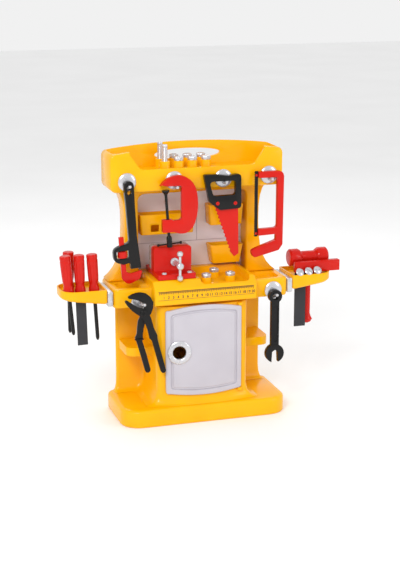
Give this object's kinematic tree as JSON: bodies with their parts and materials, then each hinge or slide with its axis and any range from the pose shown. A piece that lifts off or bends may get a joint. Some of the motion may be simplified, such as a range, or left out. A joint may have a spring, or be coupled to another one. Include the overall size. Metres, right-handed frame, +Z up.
{
  "type": "toy workbench",
  "caption": "Child's yellow plastic toy workbench with a cupboard door, vise, hooks, side trays, a header tray, and lift-off hammer, saws, pliers, spanner, clamp and drivers.",
  "frame": {"origin": "middle of the plinth's flat underside, where the bench stands on the floor", "axes": "+X towards the bench's right as its user faces it, +Y towards its back, +Z up"},
  "size_m": [0.6014, 0.1545, 0.5661],
  "materials": {
    "yellow_plastic": "gloss",
    "lilac_plastic": "satin",
    "silver_plastic": "silver-painted gloss",
    "red_plastic": "gloss",
    "black_plastic": "satin",
    "grey_plastic": "matt"
  },
  "bodies": {
    "bench": {"base_plinth": "yellow_plastic", "lower_cabinet": "yellow_plastic", "worktop": "yellow_plastic", "upper_frame": "yellow_plastic", "backing_panel": "lilac_plastic", "header_box": "yellow_plastic", "bin_left": "yellow_plastic", "bin_right_upper": "yellow_plastic", "bin_right_lower": "yellow_plastic", "hook_wrench": "silver_plastic", "hook_clamp": "silver_plastic", "hook_handsaw": "silver_plastic", "hook_hacksaw": "silver_plastic", "hook_pliers": "silver_plastic", "hook_spanner": "silver_plastic", "bracket_left": "silver_plastic", "bracket_right": "silver_plastic", "tray_left": "yellow_plastic", "tray_right": "yellow_plastic", "vise_body": "red_plastic"},
    "door": {"cabinet_door": "lilac_plastic", "door_pull_ring": "silver_plastic"},
    "vise_screw": {"vise_screw": "silver_plastic"},
    "vise_jaw": {"vise_jaw": "silver_plastic"},
    "pipe_wrench": {"pipe_wrench_handle": "black_plastic"},
    "pipe_wrench_nut": {"pipe_wrench_nut": "red_plastic"},
    "pipe_wrench_jaw": {"pipe_wrench_jaw": "red_plastic"},
    "clamp": {"clamp_frame": "red_plastic"},
    "clamp_screw": {"clamp_screw": "black_plastic"},
    "clamp_handle": {"clamp_handle": "black_plastic"},
    "handsaw": {"handsaw_handle": "black_plastic", "handsaw_blade": "red_plastic"},
    "hacksaw": {"hacksaw_frame": "red_plastic", "hacksaw_blade": "black_plastic"},
    "pliers": {"pliers_back_half": "black_plastic"},
    "pliers_front": {"pliers_front_half": "black_plastic"},
    "spanner": {"spanner": "black_plastic"},
    "hammer": {"hammer_head": "red_plastic", "hammer_handle": "red_plastic"},
    "try_square": {"try_square_stock": "red_plastic", "try_square_blade": "grey_plastic"},
    "nut_driver": {"nut_driver_handle": "red_plastic", "nut_driver_blade": "black_plastic"},
    "awl": {"awl_handle": "red_plastic", "awl_blade": "black_plastic"},
    "chisel": {"chisel_handle": "red_plastic", "chisel_blade": "grey_plastic"},
    "screwdriver": {"screwdriver_handle": "red_plastic", "screwdriver_blade": "black_plastic"},
    "header_pin_front": {"header_pin_front": "silver_plastic"},
    "header_pin_back": {"header_pin_back": "silver_plastic"},
    "header_bolt_front_1": {"header_bolt_front_1": "silver_plastic"},
    "header_bolt_back_1": {"header_bolt_back_1": "silver_plastic"},
    "header_bolt_front_2": {"header_bolt_front_2": "silver_plastic"},
    "header_bolt_back_2": {"header_bolt_back_2": "silver_plastic"},
    "header_bolt_front_3": {"header_bolt_front_3": "silver_plastic"},
    "header_bolt_back_3": {"header_bolt_back_3": "silver_plastic"},
    "bench_bolt_1": {"bench_bolt_1": "silver_plastic"},
    "bench_bolt_2": {"bench_bolt_2": "silver_plastic"},
    "bench_bolt_3": {"bench_bolt_3": "silver_plastic"}
  },
  "joints": [
    {"name": "door_hinge", "type": "hinge", "parent": "bench", "child": "door", "pos_m": [0.0755, -0.05524, 0], "axis": [0, 0, 1], "range_deg": [0, 100]},
    {"name": "vise_screw_turn", "type": "hinge", "parent": "bench", "child": "vise_screw", "pos_m": [-0.053, -0.055, 0.3298], "axis": [0, 1, 0], "range_deg": [0, 1082]},
    {"name": "vise_jaw_slide", "type": "slide", "parent": "bench", "child": "vise_jaw", "axis": [0, 1, 0], "range_m": [0, 0.015]},
    {"name": "wrench_pull", "type": "slide", "parent": "bench", "child": "pipe_wrench", "axis": [0, -0.9848, 0.1736], "range_m": [0, 0.03]},
    {"name": "wrench_nut_turn", "type": "hinge", "parent": "pipe_wrench", "child": "pipe_wrench_nut", "pos_m": [-0.16352, -0.0201, 0.35407], "axis": [-0.0698, 0, 0.9976], "range_deg": [0, 1442]},
    {"name": "wrench_jaw_slide", "type": "slide", "parent": "pipe_wrench", "child": "pipe_wrench_jaw", "axis": [0.0698, 0, -0.9976], "range_m": [0, 0.012]},
    {"name": "clamp_pull", "type": "slide", "parent": "bench", "child": "clamp", "axis": [0, -0.9848, 0.1736], "range_m": [0, 0.03]},
    {"name": "clamp_screw_slide", "type": "slide", "parent": "clamp", "child": "clamp_screw", "axis": [-0.0698, 0, 0.9976], "range_m": [-0.002, 0.004]},
    {"name": "clamp_handle_turn", "type": "hinge", "parent": "clamp_screw", "child": "clamp_handle", "pos_m": [-0.0725, -0.0201, 0.47992], "axis": [-0.0698, 0, 0.9976], "range_deg": [-145, 289]},
    {"name": "handsaw_pull", "type": "slide", "parent": "bench", "child": "handsaw", "axis": [0, -0.9848, 0.1736], "range_m": [0, 0.03]},
    {"name": "hacksaw_pull", "type": "slide", "parent": "bench", "child": "hacksaw", "axis": [0, -0.9848, 0.1736], "range_m": [0, 0.03]},
    {"name": "pliers_pull", "type": "slide", "parent": "bench", "child": "pliers", "axis": [0, -0.9848, 0.1736], "range_m": [0, 0.03]},
    {"name": "pliers_pivot", "type": "hinge", "parent": "pliers", "child": "pliers_front", "pos_m": [-0.134, -0.0631, 0.24161], "axis": [0, 1, 0], "range_deg": [-8, 8]},
    {"name": "spanner_pull", "type": "slide", "parent": "bench", "child": "spanner", "axis": [0, -0.9848, 0.1736], "range_m": [0, 0.03]},
    {"name": "hammer_lift", "type": "slide", "parent": "bench", "child": "hammer", "axis": [0, 0, 1], "range_m": [0, 0.13]},
    {"name": "try_square_lift", "type": "slide", "parent": "bench", "child": "try_square", "axis": [0, 0, 1], "range_m": [0, 0.13]},
    {"name": "nut_driver_lift", "type": "slide", "parent": "bench", "child": "nut_driver", "axis": [-0.0872, 0, 0.9962], "range_m": [0, 0.095]},
    {"name": "awl_lift", "type": "slide", "parent": "bench", "child": "awl", "axis": [0, 0, 1], "range_m": [0, 0.1]},
    {"name": "chisel_lift", "type": "slide", "parent": "bench", "child": "chisel", "axis": [-0.0262, 0, 0.9997], "range_m": [0, 0.12]},
    {"name": "screwdriver_lift", "type": "slide", "parent": "bench", "child": "screwdriver", "axis": [-0.0523, 0, 0.9986], "range_m": [0, 0.11]},
    {"name": "header_pin_front_lift", "type": "slide", "parent": "bench", "child": "header_pin_front", "axis": [0, 0, 1], "range_m": [0, 0.02]},
    {"name": "header_pin_back_lift", "type": "slide", "parent": "bench", "child": "header_pin_back", "axis": [0, 0, 1], "range_m": [0, 0.02]},
    {"name": "header_bolt_front_1_lift", "type": "slide", "parent": "bench", "child": "header_bolt_front_1", "axis": [0, 0, 1], "range_m": [0, 0.02]},
    {"name": "header_bolt_back_1_lift", "type": "slide", "parent": "bench", "child": "header_bolt_back_1", "axis": [0, 0, 1], "range_m": [0, 0.02]},
    {"name": "header_bolt_front_2_lift", "type": "slide", "parent": "bench", "child": "header_bolt_front_2", "axis": [0, 0, 1], "range_m": [0, 0.02]},
    {"name": "header_bolt_back_2_lift", "type": "slide", "parent": "bench", "child": "header_bolt_back_2", "axis": [0, 0, 1], "range_m": [0, 0.02]},
    {"name": "header_bolt_front_3_lift", "type": "slide", "parent": "bench", "child": "header_bolt_front_3", "axis": [0, 0, 1], "range_m": [0, 0.02]},
    {"name": "header_bolt_back_3_lift", "type": "slide", "parent": "bench", "child": "header_bolt_back_3", "axis": [0, 0, 1], "range_m": [0, 0.02]},
    {"name": "bench_bolt_1_lift", "type": "slide", "parent": "bench", "child": "bench_bolt_1", "axis": [0, 0, 1], "range_m": [0, 0.02]},
    {"name": "bench_bolt_2_lift", "type": "slide", "parent": "bench", "child": "bench_bolt_2", "axis": [0, 0, 1], "range_m": [0, 0.02]},
    {"name": "bench_bolt_3_lift", "type": "slide", "parent": "bench", "child": "bench_bolt_3", "axis": [0, 0, 1], "range_m": [0, 0.02]}
  ],
  "couplings": [
    {"joint": "vise_screw_turn", "follows": "vise_jaw_slide", "rad_per_m": 1256.6},
    {"joint": "wrench_nut_turn", "follows": "wrench_jaw_slide", "rad_per_m": 2094.4},
    {"joint": "clamp_handle_turn", "follows": "clamp_screw_slide", "rad_per_m": 1256.6}
  ]
}
